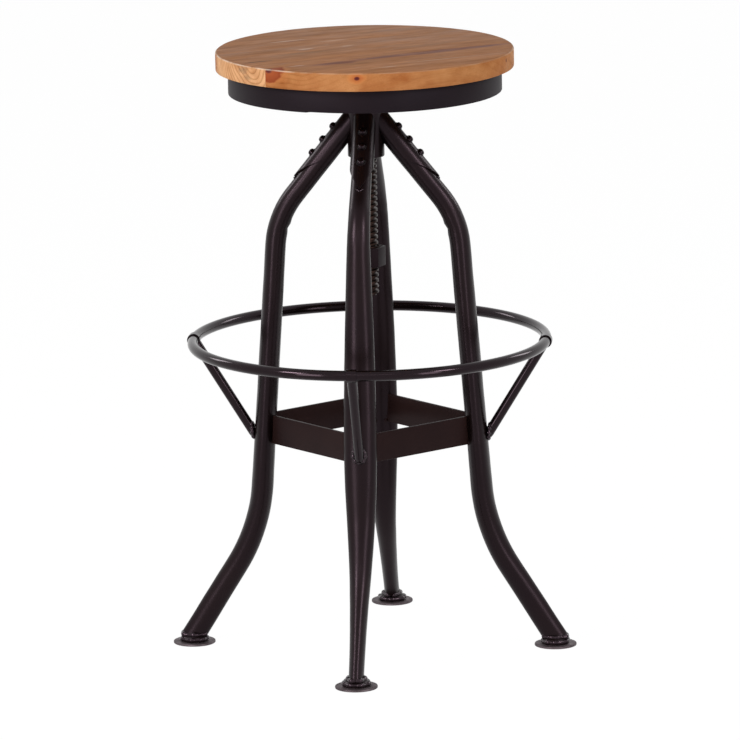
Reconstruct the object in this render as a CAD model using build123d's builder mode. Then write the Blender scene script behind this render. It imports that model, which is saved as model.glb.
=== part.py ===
from build123d import *
import os
from math import atan2, cos, degrees, pi, radians, sin, sqrt

# Screw-lift bar stool. Millimetres, +Z up, origin on the floor under the middle of the seat.
# The legs stand on the diagonals, and -Y is the front.

# Seat boards
seat_height = 747.0  # floor to the top of the seat, at rest
seat_diameter = 365.0
seat_thickness = 22.5
seat_top_round = 2.0
middle_board_width = 127.0
grain_angle = 79.5  # direction of the boards, from +X

# Steel band and the spider plate inside it
band_diameter = 335.0
band_height = 29.5
band_wall_thickness = 3.0
spider_thickness = 5.0
spider_disc_diameter = 130.0
spider_arm_width = 45.0
spider_arm_count = 4

# Wood screws, up through the spider
wood_screw_diameter = 4.5
wood_screw_length = 20.0  # under the head
wood_screw_head_diameter = 9.0
wood_screw_head_height = 3.0
wood_screw_head_chamfer = 1.2
wood_screw_radii = (95.0, 145.0)  # places along each arm

# Flange on top of the lift screw, and its bolts
flange_diameter = 100.0
flange_thickness = 8.0
flange_bolt_circle_diameter = 74.0
flange_bolt_count = 4
flange_bolt_start = 45.0  # direction of the first bolt, from +X
flange_bolt_diameter = 8.0
flange_bolt_head_width = 13.0
flange_bolt_head_height = 5.5

# Lift screw, stop nut and loose washer
screw_diameter = 25.4
screw_length = 278.5
screw_end_chamfer = 1.5
screw_tail_length = 36.5  # screw below the stop nut
nut_width = 38.1
nut_height = 24.0
nut_turn = 55.0  # direction of one corner, from +X
washer_diameter = 31.0
washer_thickness = 1.5
washer_bore_clearance = 0.5

# Hub
seat_drop_height = 33.5  # free height under the flange, by which the seat can go down
hub_length = 64.0
hub_diameter = 45.0
hub_wall_thickness = 4.5
hub_edge_round = 1.5  # at its lower end

# Leg centre line, in the vertical plane of one leg: reach is the distance from the middle
upper_bend_reach = 111.5
upper_bend_drop_height = 140.0  # below the top of the hub, where the centre lines of the legs meet
upper_bend_radius = 112.0
lower_bend_reach = 140.0
lower_bend_height = 147.5
lower_bend_radius = 220.0
foot_reach = 225.0

# Leg section: depth is across the leg in its plane, width is square to that plane
leg_wall_thickness = 1.8
leg_top_depth = 25.0
leg_top_width = 23.0
leg_middle_depth = 26.0
leg_middle_width = 40.0
leg_foot_depth = 29.0
leg_foot_width = 18.5
leg_straight_steps = 3  # sections along each straight run
leg_bend_steps = 8  # sections along each bend

# Saddles over the leg tops, measured along the leg from the apex
saddle_thickness = 2.5
saddle_tip_distance = 125.0
saddle_tip_lift = 1.8  # over the leg's own top, so that the end comes to a point
saddle_shoulder_distance = 80.0  # the pointed end starts here
saddle_shoulder_drop = 4.0  # below the middle of the leg
saddle_heel_distance = 57.0  # the edge drops towards the hub from here
saddle_heel_drop = 10.0
saddle_bolt_first_distance = 46.0
saddle_bolt_pitch = 21.0
saddle_bolt_count = 3
saddle_bolt_diameter = 6.0
saddle_bolt_flange_diameter = 11.5
saddle_bolt_flange_height = 1.6
saddle_bolt_flange_taper = 20.0
saddle_bolt_dome_diameter = 9.0
saddle_bolt_dome_height = 3.2
saddle_bolt_dome_taper = 30.0
saddle_bolt_length = 12.0
spot_face_depth = 0.8

# Stretcher bars
stretcher_height = 273.3  # floor to the middle of the bar
stretcher_depth = 35.5
stretcher_thickness = 4.0

# Footrest
ring_diameter = 435.0  # centre line
ring_bar_diameter = 13.0
ring_height = 384.0
strut_bar_diameter = 12.0
strut_elbow_reach = 146.0
strut_elbow_height = 268.0
strut_elbow_radius = 14.0
strut_foot_height = 254.0
strap_width = 12.0
strap_thickness = 1.5

# Feet
foot_plate_diameter = 52.0
foot_plate_thickness = 2.6
foot_plate_round = 0.8
foot_boss_diameter = 33.0
foot_boss_rim_height = 2.4
foot_boss_height = 8.2
foot_boss_top_diameter = 19.0

# Fits: radial gaps, except where noted
running_clearance = 0.05
close_clearance = 0.05
bolt_hole_clearance = 0.2
washer_seat_clearance = 0.1  # height of the loose washer over its seat

# Heights and radii that follow
seat_underside = seat_height - seat_thickness
spider_underside = seat_underside - spider_thickness
flange_underside = spider_underside - flange_thickness
screw_end = spider_underside - screw_length
nut_underside = screw_end + screw_tail_length
nut_top = nut_underside + nut_height
hub_top = flange_underside - seat_drop_height
hub_bottom = hub_top - hub_length
upper_bend_height = hub_top - upper_bend_drop_height
band_inside_radius = band_diameter / 2 - band_wall_thickness
ring_radius = ring_diameter / 2
foot_top = foot_plate_thickness + foot_boss_height
leg_lean = atan2(upper_bend_reach, upper_bend_drop_height)
quarter_turn = 90
half_turn = quarter_turn * 2
corners = {"front_right": -45, "back_right": 45, "back_left": 135, "front_left": -135}
sides = {"front": 0, "right": 90, "back": 180, "left": 270}

os.makedirs("parts", exist_ok=True)


def write(node, builder):
    builder.part.label = node
    export_step(builder.part, f"parts/{node}.step")


def write_around(name, builder, places):
    # The piece is modelled once, and turned about the middle of the stool
    for place, angle in places.items():
        with BuildPart() as copy:
            add(builder.part, rotation=(0, 0, angle))
        write(f"{name}_{place}", copy)


# Seat boards: one round, cut into three along the grain
with BuildPart() as seat_round:
    with BuildSketch(Plane.XY.offset(seat_underside)):
        Circle(seat_diameter / 2)
    extrude(amount=seat_thickness)
    fillet(seat_round.edges().group_by(Axis.Z)[-1], radius=seat_top_round)
    with BuildSketch(Plane.XY.offset(seat_underside)):
        for radius in wood_screw_radii:
            with PolarLocations(radius, spider_arm_count):
                Circle(wood_screw_diameter / 2 + close_clearance)
    extrude(amount=wood_screw_length - spider_thickness + close_clearance, mode=Mode.SUBTRACT)

grain_x = (cos(radians(grain_angle)), sin(radians(grain_angle)), 0)
board_plane = Plane(origin=(0, 0, seat_underside), x_dir=grain_x, z_dir=(0, 0, 1))
half_board = middle_board_width / 2
board_edges = {
    "front": (-seat_diameter, -half_board),
    "middle": (-half_board, half_board),
    "rear": (half_board, seat_diameter),
}
for board_name, (low, high) in board_edges.items():
    with BuildPart() as board:
        add(seat_round.part)
        with BuildSketch(board_plane):
            with Locations((0, (low + high) / 2)):
                Rectangle(seat_diameter * 2, high - low)
        extrude(amount=seat_thickness, mode=Mode.INTERSECT)
    write(f"seat_board_{board_name}", board)

# Steel band
with BuildPart() as seat_band:
    with BuildSketch(Plane.XY.offset(seat_underside)):
        Circle(band_diameter / 2)
        Circle(band_inside_radius, mode=Mode.SUBTRACT)
    extrude(amount=-band_height)
write("seat_band", seat_band)

# Spider plate: a disc with four arms that end on the band
with BuildPart() as seat_spider:
    with BuildSketch(Plane.XY.offset(spider_underside)):
        with PolarLocations(0, spider_arm_count):
            with Locations((band_inside_radius / 2, 0)):
                Rectangle(band_inside_radius, spider_arm_width)
        Circle(spider_disc_diameter / 2)
        Circle(band_inside_radius - close_clearance, mode=Mode.INTERSECT)
        for radius in wood_screw_radii:
            with PolarLocations(radius, spider_arm_count):
                Circle(wood_screw_diameter / 2 + bolt_hole_clearance, mode=Mode.SUBTRACT)
        with PolarLocations(flange_bolt_circle_diameter / 2, flange_bolt_count, flange_bolt_start):
            Circle(flange_bolt_diameter / 2 + bolt_hole_clearance, mode=Mode.SUBTRACT)
    extrude(amount=spider_thickness)
write("seat_spider", seat_spider)

# Wood screws, heads under the spider
with BuildPart() as seat_screws:
    for radius in wood_screw_radii:
        with BuildSketch(Plane.XY.offset(spider_underside)):
            with PolarLocations(radius, spider_arm_count):
                Circle(wood_screw_head_diameter / 2)
        extrude(amount=-wood_screw_head_height)
        with BuildSketch(Plane.XY.offset(spider_underside)):
            with PolarLocations(radius, spider_arm_count):
                Circle(wood_screw_diameter / 2)
        extrude(amount=wood_screw_length)
    head_rims = seat_screws.edges().filter_by(GeomType.CIRCLE).group_by(Axis.Z)[0]
    chamfer(head_rims, length=wood_screw_head_chamfer)
write("seat_screws", seat_screws)

# Flange, bored for the screw
with BuildPart() as screw_flange:
    with BuildSketch(Plane.XY.offset(spider_underside)):
        Circle(flange_diameter / 2)
        Circle(screw_diameter / 2 + close_clearance, mode=Mode.SUBTRACT)
        with PolarLocations(flange_bolt_circle_diameter / 2, flange_bolt_count, flange_bolt_start):
            Circle(flange_bolt_diameter / 2 + bolt_hole_clearance, mode=Mode.SUBTRACT)
    extrude(amount=-flange_thickness)
write("screw_flange", screw_flange)

# Flange bolts, heads down
with BuildPart() as flange_bolts:
    with BuildSketch(Plane.XY.offset(flange_underside)):
        with PolarLocations(flange_bolt_circle_diameter / 2, flange_bolt_count, flange_bolt_start):
            RegularPolygon(flange_bolt_head_width / 2, 6, major_radius=False)
    extrude(amount=-flange_bolt_head_height)
    with BuildSketch(Plane.XY.offset(flange_underside)):
        with PolarLocations(flange_bolt_circle_diameter / 2, flange_bolt_count, flange_bolt_start):
            Circle(flange_bolt_diameter / 2)
    extrude(amount=flange_thickness + spider_thickness)
write("flange_bolts", flange_bolts)

# Lift screw
with BuildPart() as lift_screw:
    with BuildSketch(Plane.XY.offset(screw_end)):
        Circle(screw_diameter / 2)
    extrude(amount=screw_length)
    chamfer(lift_screw.edges().group_by(Axis.Z)[0], length=screw_end_chamfer)
write("lift_screw", lift_screw)

# Stop nut
with BuildPart() as stop_nut:
    with BuildSketch(Plane.XY.offset(nut_underside)):
        RegularPolygon(nut_width / 2, 6, major_radius=False, rotation=nut_turn)
        Circle(screw_diameter / 2 + close_clearance, mode=Mode.SUBTRACT)
    extrude(amount=nut_height)
write("stop_nut", stop_nut)

# Loose washer on the stop nut
with BuildPart() as stop_washer:
    with BuildSketch(Plane.XY.offset(nut_top + washer_seat_clearance)):
        Circle(washer_diameter / 2)
        Circle(screw_diameter / 2 + washer_bore_clearance, mode=Mode.SUBTRACT)
    extrude(amount=washer_thickness)
write("stop_washer", stop_washer)

# Hub sleeve and the threaded bush in it
hub_bore_radius = hub_diameter / 2 - hub_wall_thickness
with BuildPart() as hub_sleeve:
    with BuildSketch(Plane.XY.offset(hub_bottom)):
        Circle(hub_diameter / 2)
        Circle(hub_bore_radius, mode=Mode.SUBTRACT)
    extrude(amount=hub_length)
    lower_rims = hub_sleeve.edges().group_by(Axis.Z)[0]
    fillet(lower_rims.sort_by(SortBy.RADIUS)[-1], radius=hub_edge_round)
write("hub_sleeve", hub_sleeve)

with BuildPart() as hub_bush:
    with BuildSketch(Plane.XY.offset(hub_bottom)):
        Circle(hub_bore_radius - close_clearance)
        Circle(screw_diameter / 2 + running_clearance, mode=Mode.SUBTRACT)
    extrude(amount=hub_length)
write("hub_bush", hub_bush)

# Leg centre line, from the apex to past the top of the foot, where the leg is then cut flat
foot_run = (foot_reach - lower_bend_reach) / (lower_bend_height - foot_top)
with BuildLine(Plane.XZ) as leg_line:
    FilletPolyline(
        (0, hub_top),
        (upper_bend_reach, upper_bend_height),
        (lower_bend_reach, lower_bend_height),
        (foot_reach + foot_run * leg_foot_depth, foot_top - leg_foot_depth),
        radius=[upper_bend_radius, lower_bend_radius],
    )
leg_wire = leg_line.wires()[0]

# Places of the leg's sections, as shares of that line: close together only in the bends
leg_shares = [0.0]
for run in leg_wire.edges():
    run_start = leg_shares[-1]
    run_steps = leg_straight_steps if run.geom_type == GeomType.LINE else leg_bend_steps
    for step in range(run_steps):
        leg_shares.append(run_start + run.length / leg_wire.length * (step + 1) / run_steps)
top_shares = leg_shares[: leg_straight_steps + 1]


def ease(share):
    return (1 - cos(pi * share)) / 2


def leg_section(height):
    # Half depth and half width of the leg at a height over the floor
    if height > stretcher_height:
        share = (hub_top - height) / (hub_top - stretcher_height)
        depth = leg_top_depth + (leg_middle_depth - leg_top_depth) * share
        width = leg_top_width + (leg_middle_width - leg_top_width) * ease(share)
    else:
        share = min(1, (stretcher_height - height) / (stretcher_height - foot_top))
        depth = leg_middle_depth + (leg_foot_depth - leg_middle_depth) * share
        width = leg_middle_width + (leg_foot_width - leg_middle_width) * ease(share)
    return depth / 2, width / 2


def leg_sections(shares, growth):
    # Oval faces along the leg, each half depth and half width changed by growth
    ovals = []
    for share in shares:
        centre = leg_wire @ share
        along = leg_wire % share
        inward = Vector(0, 1, 0).cross(along)
        half_depth, half_width = leg_section(centre.Z)
        with BuildSketch(Plane(origin=centre, x_dir=inward, z_dir=along)) as oval:
            with BuildLine():
                radii = (half_depth + growth, half_width + growth)
                EllipticalCenterArc((0, 0), *radii, start_angle=-quarter_turn, arc_size=half_turn)
                EllipticalCenterArc((0, 0), *radii, start_angle=quarter_turn, arc_size=half_turn)
            make_face()
        ovals.append(oval.sketch)
    return ovals


# The leg's outside, which the pieces welded to it are cut to
with BuildPart() as leg_outside:
    loft(leg_sections(leg_shares, 0), ruled=True)

# Directions in a frame that lies along the leg's straight top: X down the leg, Y out of its upper side
leg_top_plane = Plane(
    origin=(0, 0, hub_top),
    x_dir=(sin(leg_lean), 0, -cos(leg_lean)),
    z_dir=(0, -1, 0),
)
bolt_places = [saddle_bolt_first_distance + saddle_bolt_pitch * n for n in range(saddle_bolt_count)]


def saddle_top(place):
    # Height of the saddle's ridge over the leg's centre line
    height = hub_top - place * cos(leg_lean)
    return leg_section(height)[0] + saddle_thickness


def bolt_plane(place):
    # Plane of one bolt's seat, with Z out of the leg
    seat = leg_top_plane.from_local_coords((place, saddle_top(place) - spot_face_depth))
    return Plane(origin=seat, x_dir=(0, 1, 0), z_dir=leg_top_plane.y_dir)


# One leg, coped to the hub, cut flat on its foot, and drilled for the saddle bolts
with BuildPart() as leg:
    add(leg_outside.part)
    loft(leg_sections(leg_shares, -leg_wall_thickness), ruled=True, mode=Mode.SUBTRACT)
    with BuildSketch():
        Circle(hub_diameter / 2)
    extrude(amount=seat_height, mode=Mode.SUBTRACT)
    split(bisect_by=Plane.XY.offset(foot_top), keep=Keep.TOP)
    for place in bolt_places:
        with BuildSketch(bolt_plane(place)):
            Circle(saddle_bolt_diameter / 2 + bolt_hole_clearance)
        extrude(amount=-saddle_bolt_length, mode=Mode.SUBTRACT)
write_around("leg", leg, corners)

# Saddle: a sleeve round the leg's top, cut to a pointed half-round that ends on the hub
saddle_reach = (leg_top_depth + saddle_thickness) * 2
with BuildPart() as saddle:
    loft(leg_sections(top_shares, saddle_thickness), ruled=True)
    add(leg_outside.part, mode=Mode.SUBTRACT)
    with BuildSketch(leg_top_plane):
        with BuildLine():
            Polyline(
                (0, saddle_reach),
                (saddle_tip_distance, saddle_reach),
                (saddle_tip_distance, leg_top_depth / 2 + saddle_tip_lift),
                (saddle_shoulder_distance, -saddle_shoulder_drop),
                (saddle_heel_distance, -saddle_shoulder_drop),
                (0, -saddle_heel_drop),
                close=True,
            )
        make_face()
    extrude(amount=saddle_reach, both=True, mode=Mode.INTERSECT)
    with BuildSketch():
        Polygon((0, 0), (foot_reach, -foot_reach), (foot_reach, foot_reach), align=None)
        Circle(hub_diameter / 2, mode=Mode.SUBTRACT)
    extrude(amount=seat_height, mode=Mode.INTERSECT)
    for place in bolt_places:
        with BuildSketch(bolt_plane(place)):
            Circle(saddle_bolt_flange_diameter / 2 + bolt_hole_clearance)
        extrude(amount=saddle_bolt_flange_diameter, mode=Mode.SUBTRACT)
        with BuildSketch(bolt_plane(place)):
            Circle(saddle_bolt_diameter / 2 + bolt_hole_clearance)
        extrude(amount=-saddle_bolt_length, mode=Mode.SUBTRACT)
write_around("saddle", saddle, corners)

# Saddle bolts: shank, flange and dome
with BuildPart() as leg_bolts:
    for place in bolt_places:
        seat_plane = bolt_plane(place)
        with BuildSketch(seat_plane):
            Circle(saddle_bolt_diameter / 2)
        extrude(amount=-saddle_bolt_length)
        with BuildSketch(seat_plane):
            Circle(saddle_bolt_flange_diameter / 2)
        extrude(amount=saddle_bolt_flange_height, taper=saddle_bolt_flange_taper)
        with BuildSketch(seat_plane.offset(saddle_bolt_flange_height)):
            Circle(saddle_bolt_dome_diameter / 2)
        extrude(amount=saddle_bolt_dome_height, taper=saddle_bolt_dome_taper)
with BuildPart() as saddle_bolts:
    for angle in corners.values():
        add(leg_bolts.part, rotation=(0, 0, angle))
write("saddle_bolts", saddle_bolts)


def leg_reach(height):
    # Distance of the leg's centre line from the middle, on its straight middle run
    share = (upper_bend_height - height) / (upper_bend_height - lower_bend_height)
    return upper_bend_reach + (lower_bend_reach - upper_bend_reach) * share


# Stretcher bar on edge between two legs, its ends cut to their outside
stretcher_offset = leg_reach(stretcher_height) / sqrt(2)
with BuildPart() as stretcher:
    with BuildSketch(Plane.XZ.offset(stretcher_offset)):
        with Locations((0, stretcher_height)):
            Rectangle(stretcher_offset * 2, stretcher_depth)
    extrude(amount=stretcher_thickness / 2, both=True)
    for corner in ("front_right", "front_left"):
        add(leg_outside.part, rotation=(0, 0, corners[corner]), mode=Mode.SUBTRACT)
write_around("stretcher", stretcher, sides)

# Footrest ring
with BuildPart() as footrest_ring:
    with BuildSketch(Plane.XZ):
        with Locations((ring_radius, ring_height)):
            Circle(ring_bar_diameter / 2)
    revolve(axis=Axis.Z)
write("footrest_ring", footrest_ring)

# Strap: a collar that follows the ring's curve
strap_turn = strap_width / ring_radius
strap_start = Plane(
    origin=(0, 0, 0),
    x_dir=(cos(strap_turn / 2), -sin(strap_turn / 2), 0),
    z_dir=(-sin(strap_turn / 2), -cos(strap_turn / 2), 0),
)
strap_radius = ring_bar_diameter / 2 + close_clearance + strap_thickness
with BuildPart() as ring_strap:
    with BuildSketch(strap_start):
        with Locations((ring_radius, ring_height)):
            Circle(strap_radius)
            Circle(ring_bar_diameter / 2 + close_clearance, mode=Mode.SUBTRACT)
    revolve(axis=Axis.Z, revolution_arc=degrees(strap_turn))
write_around("ring_strap", ring_strap, corners)

# Strut: round bar from the strap, with an elbow at the leg
with BuildPart() as strut:
    with BuildLine(Plane.XZ) as strut_line:
        FilletPolyline(
            (ring_radius, ring_height),
            (strut_elbow_reach, strut_elbow_height),
            (leg_reach(strut_foot_height), strut_foot_height),
            radius=strut_elbow_radius,
        )
    with BuildSketch(Plane(origin=strut_line.line @ 0, z_dir=strut_line.line % 0)):
        Circle(strut_bar_diameter / 2)
    sweep()
    add(leg_outside.part, mode=Mode.SUBTRACT)
    with BuildSketch(Plane.XZ):
        with Locations((ring_radius, ring_height)):
            Circle(strap_radius)
    revolve(axis=Axis.Z, mode=Mode.SUBTRACT)
write_around("strut", strut, corners)

# Foot: a flat plate and a domed boss that the leg stands on
with BuildPart() as foot_plate:
    with BuildSketch():
        with Locations((foot_reach, 0)):
            Circle(foot_plate_diameter / 2)
    extrude(amount=foot_plate_thickness)
    fillet(foot_plate.edges().group_by(Axis.Z)[-1], radius=foot_plate_round)
write_around("foot_plate", foot_plate, corners)

flat_edge = foot_reach + foot_boss_top_diameter / 2
boss_edge = foot_reach + foot_boss_diameter / 2
dome_start = foot_plate_thickness + foot_boss_rim_height
with BuildPart() as foot_boss:
    with BuildSketch(Plane.XZ):
        with BuildLine():
            Polyline(
                (flat_edge, foot_top),
                (foot_reach, foot_top),
                (foot_reach, foot_plate_thickness),
                (boss_edge, foot_plate_thickness),
                (boss_edge, dome_start),
            )
            EllipticalCenterArc(
                (flat_edge, dome_start),
                boss_edge - flat_edge,
                foot_top - dome_start,
                arc_size=quarter_turn,
            )
        make_face()
    revolve(axis=Axis((foot_reach, 0, 0), (0, 0, 1)))
write_around("foot_boss", foot_boss, corners)
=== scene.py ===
import bpy
import math
from mathutils import Matrix, Vector, noise


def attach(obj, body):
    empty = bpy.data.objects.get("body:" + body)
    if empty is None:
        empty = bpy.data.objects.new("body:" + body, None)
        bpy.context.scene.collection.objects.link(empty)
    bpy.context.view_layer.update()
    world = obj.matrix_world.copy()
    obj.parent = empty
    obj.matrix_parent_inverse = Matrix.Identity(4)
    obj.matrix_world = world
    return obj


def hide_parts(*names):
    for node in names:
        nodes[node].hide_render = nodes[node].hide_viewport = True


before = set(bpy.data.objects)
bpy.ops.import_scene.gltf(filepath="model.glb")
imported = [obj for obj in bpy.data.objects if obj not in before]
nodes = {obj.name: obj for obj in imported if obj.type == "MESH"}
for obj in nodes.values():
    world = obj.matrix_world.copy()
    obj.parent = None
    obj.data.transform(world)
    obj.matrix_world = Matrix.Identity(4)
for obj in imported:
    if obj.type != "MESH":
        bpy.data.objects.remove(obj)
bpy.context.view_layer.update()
mm = 0.001
hair = 0.01 * mm  # closer than this counts as touching
corners = {"front_right": -45, "back_right": 45, "back_left": 135, "front_left": -135}
sides = {"front": 0, "right": 90, "back": 180, "left": 270}
print("frame loaded:", len(nodes), "CAD nodes")


# small tools used by every piece

def startFresh():
    if bpy.context.object and bpy.context.object.mode != "OBJECT":
        bpy.ops.object.mode_set(mode="OBJECT")
    bpy.ops.object.select_all(action="DESELECT")


def pick(piece):
    startFresh()
    piece.select_set(True)
    bpy.context.view_layer.objects.active = piece


def selectParts(piece, kind, wanted):  # kind is VERT or EDGE; ends in edit mode
    pick(piece)
    bpy.ops.object.mode_set(mode="EDIT")
    bpy.ops.mesh.select_mode(type=kind)
    bpy.ops.mesh.select_all(action="DESELECT")
    bpy.ops.object.mode_set(mode="OBJECT")
    mesh = piece.data
    if kind == "VERT":
        for corner in mesh.vertices:
            corner.select = wanted(corner.co)
    else:
        for edge in mesh.edges:
            edge.select = wanted(*[mesh.vertices[v].co for v in edge.vertices])
    bpy.ops.object.mode_set(mode="EDIT")


def roundEdges(piece, wanted, size, steps):  # size in mm
    selectParts(piece, "EDGE", wanted)
    bpy.ops.mesh.bevel(offset=size * mm, segments=steps, affect="EDGES")
    bpy.ops.object.mode_set(mode="OBJECT")


def sliceOff(piece, place, away):  # takes off what lies past the plane and closes the cut
    selectParts(piece, "VERT", lambda co: True)
    bpy.ops.mesh.bisect(plane_co=place, plane_no=away, use_fill=True, clear_outer=True)
    bpy.ops.object.mode_set(mode="OBJECT")


def modify(piece, kind, **settings):
    pick(piece)
    step = piece.modifiers.new(kind.title(), kind)
    for key, value in settings.items():
        setattr(step, key, value)
    bpy.ops.object.modifier_apply(modifier=step.name)


def softenEdges(piece, size, angle):  # size in mm, edges sharper than the angle
    modify(piece, "BEVEL", width=size * mm, segments=2, limit_method="ANGLE",
           angle_limit=math.radians(angle))


def smooth(piece, angle):
    pick(piece)
    bpy.ops.object.shade_smooth_by_angle(angle=math.radians(angle))


def tidyMesh(piece):  # merged doubles, normals outwards
    pick(piece)
    bpy.ops.object.mode_set(mode="EDIT")
    bpy.ops.mesh.select_all(action="SELECT")
    bpy.ops.mesh.remove_doubles(threshold=hair)
    bpy.ops.mesh.normals_make_consistent(inside=False)
    bpy.ops.object.mode_set(mode="OBJECT")


def turnedCopy(piece, name, degrees):
    pick(piece)
    bpy.ops.object.duplicate(linked=False)
    copy = bpy.context.object
    copy.name = copy.data.name = name
    copy.rotation_euler.z = math.radians(degrees)
    bpy.ops.object.transform_apply(location=True, rotation=True, scale=True)
    return copy


def joinPieces(pieces, name):
    startFresh()
    for piece in pieces:
        piece.select_set(True)
    bpy.context.view_layer.objects.active = pieces[0]
    bpy.ops.object.join()
    joined = bpy.context.object
    joined.name = joined.data.name = name
    return joined


def dress(piece, finish, body, stands=()):
    pick(piece)
    bpy.ops.object.transform_apply(location=True, rotation=True, scale=True)
    piece.data.materials.clear()
    piece.data.materials.append(finish)
    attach(piece, body)
    if stands:
        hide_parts(*stands)


def spreadRound(piece, node, ending, turns, finish):  # a dressed copy at every turn
    for name, turn in turns.items():
        copy = turnedCopy(piece, node + name + ending, turn)
        dress(copy, finish, "base", [node + name])
    bpy.data.objects.remove(piece)


def spreadWelds(piece, name, turns, finish):  # a copy at every turn, all of them one piece
    welds = joinPieces([turnedCopy(piece, piece.name, turn) for turn in turns.values()], name)
    bpy.data.objects.remove(piece)
    dress(welds, finish, "base")


def drawProfile(name, points):  # a line of vertices in the XZ plane, points in mm
    startFresh()
    bpy.ops.mesh.primitive_plane_add(size=mm)
    piece = bpy.context.object
    piece.name = piece.data.name = name
    bpy.ops.object.mode_set(mode="EDIT")
    bpy.ops.mesh.select_mode(type="VERT")
    bpy.ops.mesh.select_all(action="SELECT")
    bpy.ops.mesh.merge(type="CENTER")
    here = Vector((0, 0, 0))
    for number, (x, z) in enumerate(points):
        step = Vector((x * mm, 0, z * mm)) - here
        if number == 0:
            bpy.ops.transform.translate(value=step)
        else:
            bpy.ops.mesh.extrude_vertices_move(TRANSFORM_OT_translate={"value": step})
        here += step
    bpy.ops.object.mode_set(mode="OBJECT")
    return piece


def turnProfile(name, points, steps):  # that line spun about Z
    piece = drawProfile(name, points)
    bpy.ops.object.mode_set(mode="EDIT")
    bpy.ops.mesh.select_all(action="SELECT")
    bpy.ops.mesh.spin(steps=steps, angle=2 * math.pi, center=(0, 0, 0), axis=(0, 0, 1))
    bpy.ops.object.mode_set(mode="OBJECT")
    tidyMesh(piece)
    return piece


# thin, lump and ripple are shares of the bead's width, ripplePitch the noise step from point to point
weld = {"thin": 0.72, "lump": 0.4, "ripple": 0.3, "ripplePitch": 0.31, "section": 3, "shade": 60}


def drawBead(name, points, width, lumps, seed):  # a lumpy run of weld, points and width in mm
    path = bpy.data.curves.new(name, "CURVE")
    path.dimensions = "3D"
    path.bevel_depth = width / 2 * mm
    path.bevel_resolution = weld["section"]
    path.use_fill_caps = True
    line = path.splines.new("POLY")
    line.points.add(len(points) - 1)
    for number, place in enumerate(points):
        swell = math.sin(number / len(points) * lumps * math.pi) ** 2
        ripple = noise.noise(Vector((number * weld["ripplePitch"], seed, 0.5)))
        line.points[number].co = [c * mm for c in place] + [1]
        line.points[number].radius = weld["thin"] + weld["lump"] * swell + weld["ripple"] * ripple
    bead = bpy.data.objects.new(name, path)
    bpy.context.scene.collection.objects.link(bead)
    pick(bead)
    bpy.ops.object.convert(target="MESH")
    bead = bpy.context.object
    tidyMesh(bead)
    smooth(bead, weld["shade"])
    return bead


def ringPoints(centre, across, up, count):  # a closed oval, in mm
    points = []
    for number in range(count + 1):
        turn = 2 * math.pi * number / count
        points.append(Vector(centre) + Vector(across) * math.cos(turn) + Vector(up) * math.sin(turn))
    return points


# materials

def hexColor(code):
    shares = [int(code[place:place + 2], 16) / 255 for place in (0, 2, 4)]
    return [s / 12.92 if s <= 0.04045 else ((s + 0.055) / 1.055) ** 2.4 for s in shares] + [1]


def addNode(tree, kind, inputs=None, stops=None, **settings):
    node = tree.nodes.new("ShaderNode" + kind)
    for key, value in settings.items():
        setattr(node, key, value)
    for number, (place, code) in enumerate(stops or []):
        ramp = node.color_ramp.elements
        stop = ramp[number] if number < 2 else ramp.new(place)
        stop.position = place
        stop.color = hexColor(code)
    for key, value in (inputs or {}).items():
        if isinstance(value, bpy.types.NodeSocket):
            tree.links.new(value, node.inputs[key])
        else:
            node.inputs[key].default_value = value
    return node


def newFinish(name):
    finish = bpy.data.materials.new(name)
    finish.use_nodes = True
    tree = finish.node_tree
    return finish, tree, tree.nodes["Principled BSDF"]


# sprayed enamel over steel, satin on tube and strip and glossier on bar and bolts: a warm near black
# whose soft lights lean to lavender, with a fine orange peel; sizes of cloud, gloss and peel in mm
enamel = {"cloud": 90.0, "gloss": 35.0, "glossSpread": (-0.02, 0.03), "peel": 1.8, "light": "ffdff2"}


def blackEnamel(name, color, worn, rough, shine, peelDepth, light=enamel["light"]):
    finish, tree, shader = newFinish(name)
    shader.inputs["Specular IOR Level"].default_value = shine
    shader.inputs["Specular Tint"].default_value = hexColor(light)
    place = addNode(tree, "TexCoord").outputs["Object"]
    cloud, gloss, peel = [
        addNode(tree, "TexNoise", {"Vector": place, "Scale": 1000 / size, "Detail": detail}).outputs["Fac"]
        for size, detail in ((enamel["cloud"], 4), (enamel["gloss"], 3), (enamel["peel"], 2))]
    tint = addNode(tree, "ValToRGB", {"Fac": cloud}, stops=[(0.35, color), (0.75, worn)]).outputs[0]
    tree.links.new(tint, shader.inputs["Base Color"])
    low, high = [rough + change for change in enamel["glossSpread"]]
    sheen = addNode(tree, "MapRange", {"Value": gloss, "From Min": 0.3, "From Max": 0.7,
                                       "To Min": low, "To Max": high}).outputs[0]
    tree.links.new(sheen, shader.inputs["Roughness"])
    bump = addNode(tree, "Bump", {"Height": peel, "Strength": 0.4, "Distance": peelDepth * mm}).outputs[0]
    tree.links.new(bump, shader.inputs["Normal"])
    return finish


framePaint = blackEnamel("satin_black_enamel_on_tube", "0c0606", "110a08", 0.29, 0.17, 0.02)
barPaint = blackEnamel("satin_black_enamel_on_flat_bar", "1d1211", "231614", 0.4, 0.07, 0.03)
bandPaint = blackEnamel("satin_black_enamel_on_strip", "140e11", "181114", 0.5, 0.1, 0.01, "f6eaff")
ringPaint = blackEnamel("gloss_black_enamel_on_bar", "0a0505", "0d0807", 0.12, 0.22, 0.01)
weldPaint = blackEnamel("gloss_black_enamel_on_weld", "100a0c", "140e10", 0.16, 0.35, 0.01)
boltPaint = blackEnamel("gloss_black_enamel_on_bolts", "0a0506", "0d0808", 0.14, 0.16, 0.01)
nutPaint = blackEnamel("satin_black_enamel_on_nut", "161012", "1a1315", 0.36, 0.06, 0.02)


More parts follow.
